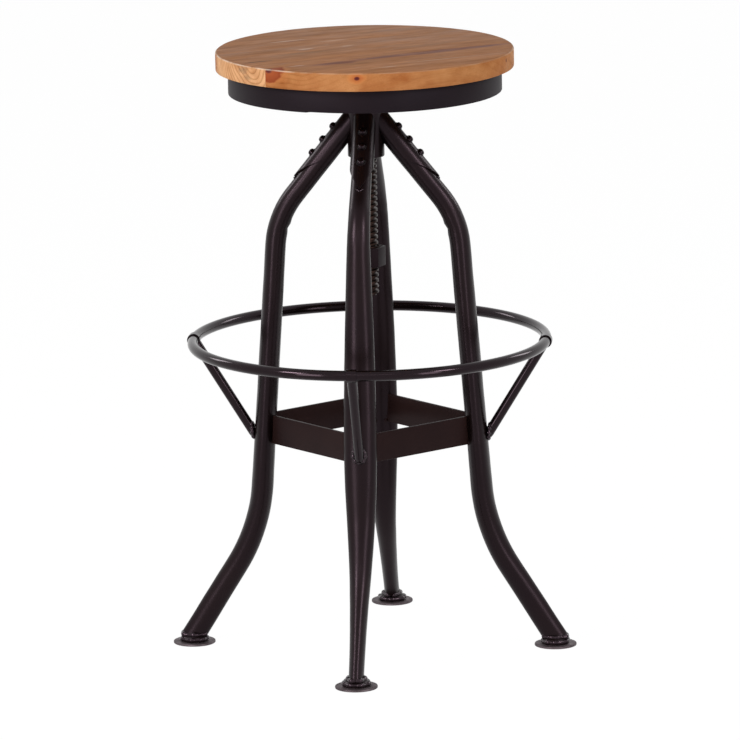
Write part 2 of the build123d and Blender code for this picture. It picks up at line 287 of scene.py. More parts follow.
# rolled, pressed, plated or machined metal, oiled or left bare: a cloudy tone that is duller where it is
# darker, so that thread, feet and screws look handled beside the even paint; cloud and relief in mm
steel = {"dull": 0.1, "bright": -0.08, "relief": 0.05}


def darkSteel(name, low, high, rough, cloudSize):
    finish, tree, shader = newFinish(name)
    shader.inputs["Metallic"].default_value = 1.0
    place = addNode(tree, "TexCoord").outputs["Object"]
    cloud = addNode(tree, "TexNoise", {
        "Vector": place, "Scale": 1000 / cloudSize, "Detail": 6}).outputs["Fac"]
    tint = addNode(tree, "ValToRGB", {"Fac": cloud}, stops=[(0.3, low), (0.7, high)]).outputs[0]
    tree.links.new(tint, shader.inputs["Base Color"])
    sheen = addNode(tree, "MapRange", {
        "Value": cloud, "From Min": 0.3, "From Max": 0.7,
        "To Min": rough + steel["dull"], "To Max": rough + steel["bright"]}).outputs[0]
    tree.links.new(sheen, shader.inputs["Roughness"])
    bump = addNode(tree, "Bump", {
        "Height": cloud, "Strength": 0.3, "Distance": steel["relief"] * mm}).outputs[0]
    tree.links.new(bump, shader.inputs["Normal"])
    return finish


threadSteel = darkSteel("oiled_rolled_thread_steel", "1a1210", "362925", 0.38, 9)
bareSteel = darkSteel("bare_pressed_steel_worn", "443c3f", "665c60", 0.55, 12)
zincSteel = darkSteel("zinc_plated_steel", "8b8c90", "b6b7ba", 0.32, 6)
bushIron = darkSteel("machined_cast_iron", "3c3936", "55504c", 0.5, 5)
print("paints and steels ready")


# reclaimed pine under satin varnish: golden on the rim, where growth rings end in arcs and knots show,
# greyer and streaked on the top, where years of use left scuffs, and pale along the upper edge, which is
# worn and also carries a painted highlight; sizes in mm
pine = {"grainAngle": 79.5, "ringWidth": 6.5, "ringWarp": 30.0, "ringRun": 0.04, "seatTop": 747.0,
        "seatRadius": 182.5, "topSkin": (1.3, 0.4), "wornAndHighlitEdgeWidth": 2.0, "endGrain": (125.0, 175.0),
        "knotNoise": 9.0, "knotRagged": 0.5, "smearRagged": 1.8, "smearFrom": 0.5,
        "scuffColor": "c4ab98", "wornAndHighlitEdgeColor": "dcc9b4", "fibreRelief": 0.1, "scuffRelief": 0.2}
# length and width of each pattern in mm, and its detail; real fibres are too fine to show, so these
# are drawn coarser
grains = {"sway": (260, 70, 2), "fibres": (40, 0.9, 3), "rim": (45, 26, 4), "top": (90, 13, 5),
          "flecks": (22, 4.5, 5), "scuffs": (24, 4, 6), "smear": (28, 1.8, 4), "rubbedAndHighlit": (50, 14, 4),
          "sheen": (60, 20, 3)}
# pith: across the grain and up; marks: place along, across and up, half sizes, colours of core and
# edge, strength, soft share
boards = {
    "front": {"pith": (-95.0, 800.0), "shift": 0.0, "rim": ("9c6035", "ba8454"), "marks": [
        ((-168, -66, 747), (26, 40, 24), "b0683a", "bd7f4c", 0.7, 0.4),
        ((-168, -63.5, 747), (20, 30, 18.5), "a05430", "843d25", 0.95, 0.2),
        ((-168, -63.5, 747), (17, 17, 11), "8c4a30", "98502f", 0.6, 0.5),
        ((-171, -68, 745.5), (10, 6.5, 4.5), "452630", "6b3a34", 0.85, 0.5),
        ((-95.8, -155.3, 740.5), (14, 14, 8.5), "a8592f", "bd7f4a", 0.75, 0.4),
        ((-95.8, -155.3, 740.5), (3.8, 3.8, 2.7), "4d2426", "6d352b", 1.0, 0.3),
        ((121.7, -135.9, 739.5), (2.4, 2.4, 3.2), "43201f", "7d4630", 0.9, 0.4),
        ((-78, -75, 747), (48, 12.0, 1.5), "6d4238", "86594a", 0.9, 0.6),
        ((-8, -69, 747), (64, 10.0, 1.5), "6d4238", "86594a", 0.95, 0.6),
        ((62, -70, 747), (70, 11.0, 1.5), "71463b", "8a5d4b", 0.9, 0.6),
        ((128, -67, 747), (62, 8.0, 1.5), "6d4238", "86594a", 0.95, 0.6),
        ((-128, -66, 747), (16, 4.0, 1.5), "c9b0a6", "b8977f", 0.6, 0.6),
        ((-44, -135, 747), (22, 3.0, 1.5), "c9b8a8", "b8a48f", 0.5, 0.6),
        ((40, -122, 747), (70, 3.0, 1.5), "bda18a", "b2937a", 0.5, 0.6)]},
    "middle": {"pith": (-39.0, 752.0), "shift": 37.0, "rim": ("b9865d", "e4b98e"), "marks": [
        ((-180, -24, 741), (9, 13, 6.5), "655748", "86705a", 0.5, 0.7),
        ((-179, -33, 733), (9, 9, 4.5), "6e6050", "8a765e", 0.4, 0.7),
        ((-154, -13, 747), (27, 2.4, 4.0), "3d342f", "5d4a3d", 0.85, 0.4),
        ((60, -61.0, 747), (130, 4.0, 1.5), "71463b", "8a5d4b", 0.8, 0.6),
        ((-62, 38, 747), (14, 4.0, 1.5), "d6c4b8", "bca08c", 0.6, 0.6),
        # painted shadow: the dark streak just beside the pale scuff above
        ((-62, 31, 747), (16, 3.0, 1.5), "7a5c49", "8d6a52", 0.5, 0.6),
        ((-8, 30, 747), (12, 5.0, 1.5), "cfb6a2", "bb9a80", 0.5, 0.7),
        ((-80, 12, 747), (60, 9.0, 1.5), "86674c", "926f52", 0.5, 0.8),
        ((75, -20, 747), (80, 9.0, 1.5), "8d6a4f", "966f54", 0.4, 0.8)]},
    "rear": {"pith": (110.0, 690.0), "shift": 81.0, "rim": ("9c6035", "ba8454"), "marks": [
        ((-52, 104, 747), (36, 3.0, 1.5), "d2beb0", "bca08c", 0.6, 0.6),
        # painted shadow: the dark streak just beside the pale scuff above
        ((-42, 98, 747), (24, 3.0, 1.5), "6f5046", "86604d", 0.6, 0.6),
        ((0, 76, 747), (26, 4.0, 1.5), "cdb39f", "b9987f", 0.5, 0.7),
        ((0, 128, 747), (40, 4.0, 1.5), "75513f", "8a6048", 0.5, 0.7),
        ((60, 105, 747), (60, 6.0, 1.5), "8a684e", "966f54", 0.4, 0.8)]},
}


def reclaimedPine(name, board):
    finish, tree, shader = newFinish(name)
    place = addNode(tree, "TexCoord").outputs["Object"]
    turn = (0, 0, -math.radians(pine["grainAngle"]))
    along = addNode(tree, "Mapping", {"Vector": place, "Rotation": turn}).outputs[0]
    shift = (board["shift"] * mm, 0, 0)
    moved = addNode(tree, "VectorMath", {0: along, 1: shift}, operation="ADD").outputs[0]
    run = addNode(tree, "SeparateXYZ", {"Vector": along}).outputs
    noiseMiddle = (0.5, 0.5, 0.5)

    pattern = {}
    for key, (length, width, detail) in grains.items():  # noise stretched along the board
        stretch = (1000 / length, 1000 / width, 1000 / width)
        spread = addNode(tree, "Mapping", {"Vector": moved, "Scale": stretch}).outputs[0]
        pattern[key] = addNode(tree, "TexNoise", {
            "Vector": spread, "Scale": 1.0, "Detail": detail}).outputs

    # growth rings round the pith
    sway = addNode(tree, "VectorMath", {
        0: pattern["sway"]["Color"], 1: noiseMiddle}, operation="SUBTRACT").outputs[0]
    warp = addNode(tree, "VectorMath", {
        0: sway, "Scale": pine["ringWarp"] * mm}, operation="SCALE").outputs[0]
    pith = (0, board["pith"][0] * mm, board["pith"][1] * mm)
    away = along
    for operation, other in (("ADD", warp), ("SUBTRACT", pith), ("MULTIPLY", (pine["ringRun"], 1, 1))):
        away = addNode(tree, "VectorMath", {0: away, 1: other}, operation=operation).outputs[0]
    radius = addNode(tree, "VectorMath", {0: away}, operation="LENGTH").outputs["Value"]
    turns = addNode(tree, "Math", {
        0: radius, 1: 1 / (pine["ringWidth"] * mm)}, operation="MULTIPLY").outputs[0]
    year = addNode(tree, "Math", {0: turns}, operation="FRACT").outputs[0]
    rings = addNode(tree, "ValToRGB", {"Fac": year}, stops=[
        (0.0, "f4ead9"), (0.5, "fbf4e8"), (0.8, "dcc3a2"), (0.92, "a98a66"), (1.0, "efe2cd")]).outputs[0]
    fibres = addNode(tree, "ValToRGB", {"Fac": pattern["fibres"]["Fac"]}, stops=[
        (0.3, "cfc7be"), (0.65, "ffffff")]).outputs[0]

    # rim
    rim = addNode(tree, "ValToRGB", {"Fac": pattern["rim"]["Fac"]}, stops=[
        (0.3, board["rim"][0]), (0.7, board["rim"][1])]).outputs[0]
    ends = addNode(tree, "Math", {0: run["X"]}, operation="ABSOLUTE").outputs[0]
    ends = addNode(tree, "MapRange", {
        "Value": ends, "From Min": pine["endGrain"][0] * mm, "From Max": pine["endGrain"][1] * mm,
        "To Min": 0.14, "To Max": 0.65}).outputs[0]
    for share, layer in ((ends, rings), (0.35, fibres)):
        rim = addNode(tree, "Mix", {"Factor": share, 6: rim, 7: layer},
                      data_type="RGBA", blend_type="MULTIPLY").outputs[2]

    # top
    top = addNode(tree, "ValToRGB", {"Fac": pattern["top"]["Fac"]}, stops=[
        (0.25, "94643d"), (0.75, "c1885b"), (0.42, "a67248"), (0.58, "b17b51")]).outputs[0]
    flecks = addNode(tree, "ValToRGB", {"Fac": pattern["flecks"]["Fac"]}, stops=[
        (0.34, "b9a48c"), (0.56, "ffffff")]).outputs[0]
    for share, layer in ((0.14, rings), (0.3, flecks), (0.42, fibres)):
        top = addNode(tree, "Mix", {"Factor": share, 6: top, 7: layer},
                      data_type="RGBA", blend_type="MULTIPLY").outputs[2]
    scuffs = addNode(tree, "MapRange", {
        "Value": pattern["scuffs"]["Fac"], "From Min": 0.64, "From Max": 0.78, "To Max": 0.35}).outputs[0]
    skinLow, skinHigh = [(pine["seatTop"] - depth) * mm for depth in pine["topSkin"]]
    isTop = addNode(tree, "MapRange", {
        "Value": run["Z"], "From Min": skinLow, "From Max": skinHigh}).outputs[0]
    top = addNode(tree, "Mix", {"Factor": scuffs, 6: top, 7: hexColor(pine["scuffColor"])},
                  data_type="RGBA").outputs[2]
    color = addNode(tree, "Mix", {"Factor": isTop, 6: rim, 7: top}, data_type="RGBA").outputs[2]

    # knots, stains, scuffs and two painted shadows beside scuffs that have their own place, ragged all
    # round or along the grain
    knots = addNode(tree, "TexNoise", {
        "Vector": along, "Scale": 1000 / pine["knotNoise"], "Detail": 3}).outputs
    ragged = []
    for source, reach in ((knots, pine["knotRagged"]), (pattern["smear"], pine["smearRagged"])):
        centred = addNode(tree, "VectorMath", {
            0: source["Color"], 1: noiseMiddle}, operation="SUBTRACT").outputs[0]
        ragged.append(addNode(tree, "VectorMath", {
            0: centred, "Scale": reach}, operation="SCALE").outputs[0])
    for spot, size, core, edge, strength, soft in board["marks"]:
        off = along
        for operation, other in (("SUBTRACT", [c * mm for c in spot]),
                                 ("MULTIPLY", [1 / (c * mm) for c in size]),
                                 ("ADD", ragged[soft > pine["smearFrom"]])):
            off = addNode(tree, "VectorMath", {0: off, 1: other}, operation=operation).outputs[0]
        far = addNode(tree, "VectorMath", {0: off}, operation="LENGTH").outputs["Value"]
        tone = addNode(tree, "ValToRGB", {"Fac": far}, stops=[(0.25, core), (0.85, edge)]).outputs[0]
        share = addNode(tree, "MapRange", {
            "Value": far, "From Min": 1 - soft, "From Max": 1.0, "To Min": strength, "To Max": 0.0},
            interpolation_type="SMOOTHSTEP").outputs[0]
        color = addNode(tree, "Mix", {"Factor": share, 6: color, 7: tone}, data_type="RGBA").outputs[2]

    # the upper edge made pale, partly worn wood and partly a painted highlight, most at the ends of the
    # grain
    flat = addNode(tree, "VectorMath", {0: along, 1: (1, 1, 0)}, operation="MULTIPLY").outputs[0]
    reach = addNode(tree, "VectorMath", {0: flat}, operation="LENGTH").outputs["Value"]
    rubbedAndHighlit = addNode(tree, "MapRange", {
        "Value": pattern["rubbedAndHighlit"]["Fac"], "From Min": 0.35, "From Max": 0.6, "To Max": 1.3}).outputs[0]
    worn = addNode(tree, "Math", {0: ends, 1: rubbedAndHighlit}, operation="MULTIPLY").outputs[0]
    for value, limit in ((reach, pine["seatRadius"]), (run["Z"], pine["seatTop"])):
        near = addNode(tree, "MapRange", {
            "Value": value, "From Min": (limit - pine["wornAndHighlitEdgeWidth"]) * mm,
            "From Max": (limit - pine["wornAndHighlitEdgeWidth"] / 2) * mm}).outputs[0]
        worn = addNode(tree, "Math", {0: worn, 1: near}, operation="MULTIPLY").outputs[0]
    # the pale edge colour stands for worn wood and a painted highlight together
    color = addNode(tree, "Mix", {"Factor": worn, 6: color, 7: hexColor(pine["wornAndHighlitEdgeColor"])},
                    data_type="RGBA").outputs[2]

    tree.links.new(color, shader.inputs["Base Color"])
    sheen = addNode(tree, "MapRange", {
        "Value": pattern["sheen"]["Fac"], "From Min": 0.3, "From Max": 0.7,
        "To Min": 0.38, "To Max": 0.52}).outputs[0]
    tree.links.new(sheen, shader.inputs["Roughness"])
    shader.inputs["Specular IOR Level"].default_value = 0.02
    relief = addNode(tree, "Bump", {
        "Height": fibres, "Strength": 0.3, "Distance": pine["fibreRelief"] * mm}).outputs[0]
    relief = addNode(tree, "Bump", {
        "Height": scuffs, "Strength": 0.4, "Distance": pine["scuffRelief"] * mm,
        "Normal": relief}).outputs[0]
    tree.links.new(relief, shader.inputs["Normal"])
    return finish


boardPine = {name: reclaimedPine("reclaimed_pine_" + name, board) for name, board in boards.items()}
print("pine ready")


# seat: one round with a worn upper edge, sawn into three boards along the grain
seat = {"radius": 182.5, "top": 747.0, "thickness": 22.5, "topRound": 2.4, "topSteps": 5,
        "bottomRound": 0.9, "bottomSteps": 2, "halfBoard": 63.5, "jointGroove": 0.25, "jointSkin": 0.05,
        "rimWear": 0.5, "wearReach": 5.0, "wearNoise": 45, "fineNoise": 140, "fineShare": 0.6,
        "rimSteps": 240, "shade": 30}


def makeSeat():
    startFresh()
    middle = (seat["top"] - seat["thickness"] / 2) * mm
    bpy.ops.mesh.primitive_cylinder_add(
        vertices=seat["rimSteps"], radius=seat["radius"] * mm, depth=seat["thickness"] * mm,
        location=(0, 0, middle))
    bpy.ops.object.transform_apply(location=True)
    whole = bpy.context.object
    for isTop, size, steps in ((True, seat["topRound"], seat["topSteps"]),
                               (False, seat["bottomRound"], seat["bottomSteps"])):
        def onRim(a, b):
            return (a.z > middle and b.z > middle) == isTop and abs(a.z - b.z) < hair
        roundEdges(whole, onRim, size, steps)
    for corner in whole.data.vertices:
        out = Vector((corner.co.x, corner.co.y, 0))
        bite = noise.noise(Vector(corner.co) * seat["wearNoise"])
        bite += seat["fineShare"] * noise.noise(Vector(corner.co) * seat["fineNoise"])
        if out.length > (seat["radius"] - seat["wearReach"]) * mm:
            corner.co -= out.normalized() * seat["rimWear"] * mm * max(0, bite)
    turn = math.radians(pine["grainAngle"])
    across = Vector((-math.sin(turn), math.cos(turn), 0))
    cuts = {"front": [(-1, 1)], "middle": [(-1, -1), (1, 1)], "rear": [(1, -1)]}
    for name, planes in cuts.items():
        board = turnedCopy(whole, "seatBoard" + name.title(), 0)
        for side, away in planes:
            joint = side * seat["halfBoard"] * mm

            def onJoint(*ends):
                return all(abs(end.dot(across) - joint) < hair and
                           end.z > (seat["top"] - seat["jointSkin"]) * mm for end in ends)
            sliceOff(board, across * joint, across * away)
            roundEdges(board, onJoint, seat["jointGroove"], 2)
        smooth(board, seat["shade"])
        dress(board, boardPine[name], "seat", ["seat_board_" + name])
    bpy.data.objects.remove(whole)


makeSeat()
print("seat boards made")


# band: a rolled strip with a butt joint, one end a little narrower than the other
band = {"radius": 167.5, "top": 724.5, "height": 29.5, "wall": 3.0, "edge": 0.5, "edgeAngle": 50,
        "jointAngle": -64.5, "jointStep": 0.9, "jointFade": 6, "steps": 180, "shade": 40}


def makeBand():
    startFresh()
    middle = (band["top"] - band["height"] / 2) * mm
    bpy.ops.mesh.primitive_cylinder_add(
        vertices=band["steps"], radius=band["radius"] * mm, depth=band["height"] * mm,
        end_fill_type="NOTHING", rotation=(0, 0, math.radians(band["jointAngle"])),
        location=(0, 0, middle))
    bpy.ops.object.transform_apply(location=True, rotation=True)
    hoop = bpy.context.object
    hoop.name = hoop.data.name = "seatBand"
    modify(hoop, "SOLIDIFY", thickness=band["wall"] * mm, offset=-1)
    softenEdges(hoop, band["edge"], band["edgeAngle"])
    for corner in hoop.data.vertices:
        angle = math.degrees(math.atan2(corner.co.y, corner.co.x)) - band["jointAngle"]
        if corner.co.z < middle:
            corner.co.z += band["jointStep"] * mm * (1 - angle % 360 / 360) ** band["jointFade"]
    smooth(hoop, band["shade"])
    dress(hoop, bandPaint, "seat", ["seat_band"])


makeBand()
print("band made")


# lift screw: a coarse right-hand thread
screw = {"crest": 12.65, "root": 9.7, "pitch": 6.8, "crestFlat": 2.3, "flank": 1.1, "low": 441.0,
         "high": 719.5, "spareTurns": 2, "steps": 40, "shade": 30}


def makeScrew():
    pitch, flat, flank = screw["pitch"], screw["crestFlat"], screw["flank"]
    root, crest = screw["root"], screw["crest"]
    start = screw["low"] - pitch
    rise = start + (pitch - flat - 2 * flank) / 2
    rod = drawProfile("liftScrew", [
        (root, start), (root, rise), (crest, rise + flank), (crest, rise + flank + flat),
        (root, rise + 2 * flank + flat), (root, start + pitch)])
    turns = math.ceil((screw["high"] - screw["low"]) / pitch) + screw["spareTurns"]
    modify(rod, "SCREW", axis="Z", angle=2 * math.pi, screw_offset=pitch * mm, iterations=turns,
           steps=screw["steps"], render_steps=screw["steps"], use_merge_vertices=True,
           merge_threshold=hair)
    for height, away in ((screw["low"], -1), (screw["high"], 1)):
        sliceOff(rod, (0, 0, height * mm), (0, 0, away))
    tidyMesh(rod)
    smooth(rod, screw["shade"])
    dress(rod, threadSteel, "seat", ["lift_screw"])


makeScrew()


# stop nut: a hex block bored for the screw
nut = {"width": 38.1, "bore": 12.75, "boreSteps": 48, "low": 477.5, "height": 24.0, "turn": -35.0,
       "edge": 0.5, "edgeAngle": 50, "shade": 30}


def makeNut():
    startFresh()
    centre = (0, 0, (nut["low"] + nut["height"] / 2) * mm)
    bpy.ops.mesh.primitive_cylinder_add(
        vertices=nut["boreSteps"], radius=nut["bore"] * mm, depth=nut["height"] * 2 * mm, location=centre)
    hole = bpy.context.object
    startFresh()
    bpy.ops.mesh.primitive_cylinder_add(
        vertices=6, radius=nut["width"] / math.sqrt(3) * mm, depth=nut["height"] * mm,
        location=centre, rotation=(0, 0, math.radians(nut["turn"])))
    bpy.ops.object.transform_apply(location=True, rotation=True)
    block = bpy.context.object
    block.name = block.data.name = "stopNut"
    modify(block, "BOOLEAN", operation="DIFFERENCE", object=hole, solver="EXACT")
    bpy.data.objects.remove(hole)
    softenEdges(block, nut["edge"], nut["edgeAngle"])
    smooth(block, nut["shade"])
    dress(block, nutPaint, "seat", ["stop_nut"])


makeNut()
print("screw and nut made")


# legs: bent and flattened tube with a crease inside the upper bend
leg = {"top": 678.0, "upper": (111.5, 538.0), "upperRadius": 112.0, "lower": (140.0, 147.5),
       "lowerRadius": 220.0, "foot": (225.0, 10.8), "waist": 273.3, "topSize": (25.0, 23.0),
       "waistSize": (26.0, 40.0), "footSize": (29.0, 18.5), "stations": 2000, "around": 48, "rings": 170,
       "blank": 10.0, "hubCut": 20.0, "hubSteps": 64, "dent": 0.22, "dentSize": 24.0, "shade": 40}
# place is past the middle of the bend in mm, wrap is how far it comes round from the inner side,
# swellPlace is in lengths of the crease
crease = {"place": 8.5, "depth": 1.2, "length": 3.0, "wrap": 0.25, "swell": 0.7, "swellPlace": 2.2}


def legLine():  # stations along the centre line: reach, height, slope from straight down
    def turnAt(a, b, c, radius):
        first = math.atan2(b[0] - a[0], a[1] - b[1])
        second = math.atan2(c[0] - b[0], b[1] - c[1])
        return first, second, radius * math.tan(abs(second - first) / 2)
    start, end = (0.0, leg["top"]), leg["foot"]
    upper, lower = leg["upper"], leg["lower"]
    slope1, slope2, cut1 = turnAt(start, upper, lower, leg["upperRadius"])
    slope2, slope3, cut2 = turnAt(upper, lower, end, leg["lowerRadius"])
    runs = [
        (math.dist(start, upper) - cut1, slope1, slope1),
        (leg["upperRadius"] * abs(slope2 - slope1), slope1, slope2),
        (math.dist(upper, lower) - cut1 - cut2, slope2, slope2),
        (leg["lowerRadius"] * abs(slope3 - slope2), slope2, slope3),
        (math.dist(lower, end) - cut2 + leg["footSize"][0], slope3, slope3),
    ]
    total = sum(run[0] for run in runs)
    reach, height, stations, gone = 0.0, leg["top"], [], 0.0
    for number in range(leg["stations"] + 1):
        place = total * number / leg["stations"]
        before = 0.0
        for run in runs:
            if place <= before + run[0] or run is runs[-1]:
                break
            before += run[0]
        length, low, high = run
        slope = low + (high - low) * (place - before) / length
        reach += math.sin(slope) * (place - gone)
        height -= math.cos(slope) * (place - gone)
        gone = place
        stations.append((reach, height, slope))
    return stations, total, runs


legStations, legLength, legRuns = legLine()
legLean = legRuns[0][1]  # of the straight top, from straight down


def legSection(height):  # half depth and half width, mm
    if height > leg["waist"]:
        share = (leg["top"] - height) / (leg["top"] - leg["waist"])
        low, high = leg["topSize"], leg["waistSize"]
    else:
        share = min(1, (leg["waist"] - height) / (leg["waist"] - leg["foot"][1]))
        low, high = leg["waistSize"], leg["footSize"]
    eased = (1 - math.cos(math.pi * share)) / 2
    return (low[0] + (high[0] - low[0]) * share) / 2, (low[1] + (high[1] - low[1]) * eased) / 2


def legPoint(place, angle, grow=0.0):  # angle 0 is the outer side; place along the leg in mm
    last = len(legStations) - 1
    reach, height, slope = legStations[min(last, round(place / legLength * last))]
    depth, width = legSection(height)
    out = (depth + grow) * math.cos(angle)
    side = (width + grow) * math.sin(angle)
    return Vector((reach + out * math.cos(slope), side, height + out * math.sin(slope)))


def makeLegs():
    startFresh()
    bpy.ops.mesh.primitive_cylinder_add(
        vertices=leg["around"], radius=leg["blank"] * mm, depth=legLength * mm, end_fill_type="NGON")
    tube = bpy.context.object
    selectParts(tube, "EDGE", lambda a, b: abs(a.z - b.z) > legLength / 2 * mm)
    bpy.ops.mesh.subdivide(number_cuts=leg["rings"] - 1)
    bpy.ops.object.mode_set(mode="OBJECT")
    bendMiddle = legRuns[0][0] + legRuns[1][0] / 2
    for corner in tube.data.vertices:
        place = legLength / 2 - corner.co.z / mm
        angle = math.atan2(corner.co.y, corner.co.x)
        inner = max(0.0, crease["wrap"] - math.cos(angle)) / (1 + crease["wrap"])
        offset = (place - bendMiddle - crease["place"]) / crease["length"]
        fold = crease["swell"] * math.exp(-(offset + crease["swellPlace"]) ** 2)
        fold -= crease["depth"] * math.exp(-offset ** 2)
        dents = noise.noise(legPoint(place, angle) / leg["dentSize"]) * leg["dent"]
        corner.co = legPoint(place, angle, dents + fold * inner) * mm
    sliceOff(tube, (0, 0, leg["foot"][1] * mm), (0, 0, -1))
    startFresh()
    bpy.ops.mesh.primitive_cylinder_add(
        vertices=leg["hubSteps"], radius=leg["hubCut"] * mm, depth=leg["top"] * mm,
        location=(0, 0, leg["top"] * mm))
    cutter = bpy.context.object
    tidyMesh(tube)
    modify(tube, "BOOLEAN", operation="DIFFERENCE", object=cutter, solver="EXACT")
    bpy.data.objects.remove(cutter)
    smooth(tube, leg["shade"])
    spreadRound(tube, "leg_", "_tube", corners, framePaint)


makeLegs()
print("legs made")


# saddles: pressed half sleeves with a pointed end, bolted to the top of each leg and tacked at the point
saddle = {"wall": 2.5, "tip": 125.0, "shoulder": 80.0, "shoulderDrop": 4.0, "heel": 57.0,
          "heelDrop": 10.0, "hub": 22.4, "edge": 0.7, "edgeAngle": 60, "rows": 70, "columns": 36,
          "passes": 6, "shade": 50}
tack = {"width": 2.2, "reach": 3.6, "drop": 2.6, "rise": 0.3, "steps": 12, "lumps": 4, "seed": 3}


def makeSaddles():
    startFresh()
    bpy.ops.mesh.primitive_grid_add(
        x_subdivisions=saddle["columns"], y_subdivisions=saddle["rows"], size=2)
    sleeve = bpy.context.object
    tip, wall = saddle["tip"], saddle["wall"]

    def halfWrap(place, depth):  # how far round the leg the sleeve reaches, drawn out to a point
        low = -saddle["shoulderDrop"]
        if place < saddle["heel"]:
            low -= (saddle["heelDrop"] + low) * (1 - place / saddle["heel"])
        share = max(0.0, (place - saddle["shoulder"]) / (tip - saddle["shoulder"]))
        return math.acos(max(-1, low / depth)) * (1 - share)

    for corner in sleeve.data.vertices:
        share, sideways = (corner.co.y + 1) / 2, corner.co.x
        place = tip * share
        for again in range(saddle["passes"]):  # the row's place and its width settle together
            depth, width = legSection(leg["top"] - place * math.cos(legLean))
            depth, width = depth + wall, width + wall
            angle = sideways * halfWrap(place, depth)
            out, side = depth * math.cos(angle), width * math.sin(angle)
            reach = math.sqrt(saddle["hub"] ** 2 - side ** 2)
            first = (reach - out * math.cos(legLean)) / math.sin(legLean)
            place = first + (tip - first) * share
        corner.co = legPoint(place, angle, wall) * mm
    tidyMesh(sleeve)
    upward = [face for face in sleeve.data.polygons if face.normal.z > 0]
    inward = -1 if len(upward) * 2 > len(sleeve.data.polygons) else 1
    modify(sleeve, "SOLIDIFY", thickness=wall * mm, offset=inward)
    softenEdges(sleeve, saddle["edge"], saddle["edgeAngle"])
    tidyMesh(sleeve)
    smooth(sleeve, saddle["shade"])
    spreadRound(sleeve, "saddle_", "_sleeve", corners, framePaint)
    points = []
    for number in range(tack["steps"] + 1):
        across = (number / (tack["steps"] / 2) - 1) * tack["reach"]
        angle = across / leg["topSize"][1] * 2
        points.append(legPoint(tip + tack["drop"] - abs(across), angle, tack["rise"]))
    bead = drawBead("saddleTack", points, tack["width"], tack["lumps"], tack["seed"])
    spreadWelds(bead, "saddleTacks", corners, weldPaint)


makeSaddles()
print("saddles made")


# saddle bolts: a button head on a thin flange
bolt = {"first": 46.0, "pitch": 21.0, "count": 3, "flange": 5.75, "flangeHeight": 1.6, "chamfer": 0.35,
        "chamferFrom": 0.45, "chamferTo": 0.85, "dome": 4.4, "domeHeight": 3.4, "domeSteps": 6,
        "neck": 0.4, "fillet": 0.15, "sink": 0.8, "steps": 28, "shade": 40}


def makeBolts():
    rim, dome, low, neck = bolt["flange"], bolt["dome"], bolt["flangeHeight"], bolt["neck"]
    profile = [
        (0.0, 0.0), (rim, 0.0), (rim, low * bolt["chamferFrom"]),
        (rim - bolt["chamfer"], low * bolt["chamferTo"]), (dome + bolt["fillet"], low), (dome, low + neck)]
    for number in range(1, bolt["domeSteps"] + 1):
        turn = math.pi / 2 * number / bolt["domeSteps"]
        rise = (bolt["domeHeight"] - neck) * math.sin(turn)
        profile.append((dome * math.cos(turn), low + neck + rise))
    one = turnProfile("saddleBolt", profile, bolt["steps"])
    smooth(one, bolt["shade"])
    made = []
    for turn in corners.values():
        for number in range(bolt["count"]):
            place = bolt["first"] + bolt["pitch"] * number
            seatPoint = legPoint(place, 0, saddle["wall"] - bolt["sink"]) * mm
            pick(one)
            bpy.ops.object.duplicate(linked=False)
            copy = bpy.context.object
            copy.matrix_world = (Matrix.Rotation(math.radians(turn), 4, "Z") @
                                 Matrix.Translation(seatPoint) @
                                 Matrix.Rotation(math.pi / 2 - legLean, 4, "Y"))
            bpy.ops.object.transform_apply(location=True, rotation=True, scale=True)
            made.append(copy)
    bpy.data.objects.remove(one)
    group = joinPieces(made, "saddleBolts")
    dress(group, boltPaint, "base", ["saddle_bolts"])


makeBolts()
print("saddle bolts made")


# stretchers: flat bar on edge between the legs, welded down both faces with a dot at each end
stretcher = {"height": 273.3, "depth": 35.5, "thickness": 4.0, "offset": 92.5, "half": 81.0, "edge": 0.6,
             "shade": 40}
seam = {"width": 3.4, "steps": 32, "lumps": 7, "inner": 80.6, "outer": 78.6, "stand": 0.5,
        "dotWidth": 5.0, "dotStart": -1.0, "dotSteps": 5}


def makeStretchers():
    startFresh()
    height, depth, thickness = stretcher["height"], stretcher["depth"], stretcher["thickness"]
    bpy.ops.mesh.primitive_cube_add(
        size=1, location=(0, -stretcher["offset"] * mm, height * mm),
        scale=(stretcher["half"] * 2 * mm, thickness * mm, depth * mm))
    bpy.ops.object.transform_apply(location=True, scale=True)
    bar = bpy.context.object
    roundEdges(bar, lambda a, b: abs(a.x - b.x) > stretcher["half"] * mm, stretcher["edge"], 2)
    smooth(bar, stretcher["shade"])
    spreadRound(bar, "stretcher_", "_bar", sides, barPaint)
    low, high = height - depth / 2, height + depth / 2
    beads = []
    for end in (-1, 1):
        for face in (-1, 1):
            x = end * (seam["inner"] if face > 0 else seam["outer"])
            y = -stretcher["offset"] + face * (thickness / 2 + seam["stand"])
            points = [(x, y, low + (high - low) * number / seam["steps"])
                      for number in range(seam["steps"] + 1)]
            beads.append(drawBead("stretcherBead", points, seam["width"], seam["lumps"], end * 3 + face))
            for edge, way in ((low, 1), (high, -1)):
                points = [(x, y, edge + way * (number + seam["dotStart"]))
                          for number in range(seam["dotSteps"] + 1)]
                beads.append(drawBead("stretcherDot", points, seam["dotWidth"], 1, end + face + way))
    one = joinPieces(beads, "stretcherBeads")
    spreadWelds(one, "stretcherWelds", sides, barPaint)


makeStretchers()
print("stretchers made")


# footrest: a ring of round bar, and a bead round the toe of each strut
ring = {"radius": 217.5, "bar": 6.5, "height": 384.0, "around": 256, "section": 24, "shade": 60}
toe = {"place": (146.4, 0.0, 270.0), "along": (1.4, 0.0, 8.6), "across": (0.0, 7.2, 0.0), "width": 6.0,
       "steps": 60, "lumps": 9, "seed": 5}


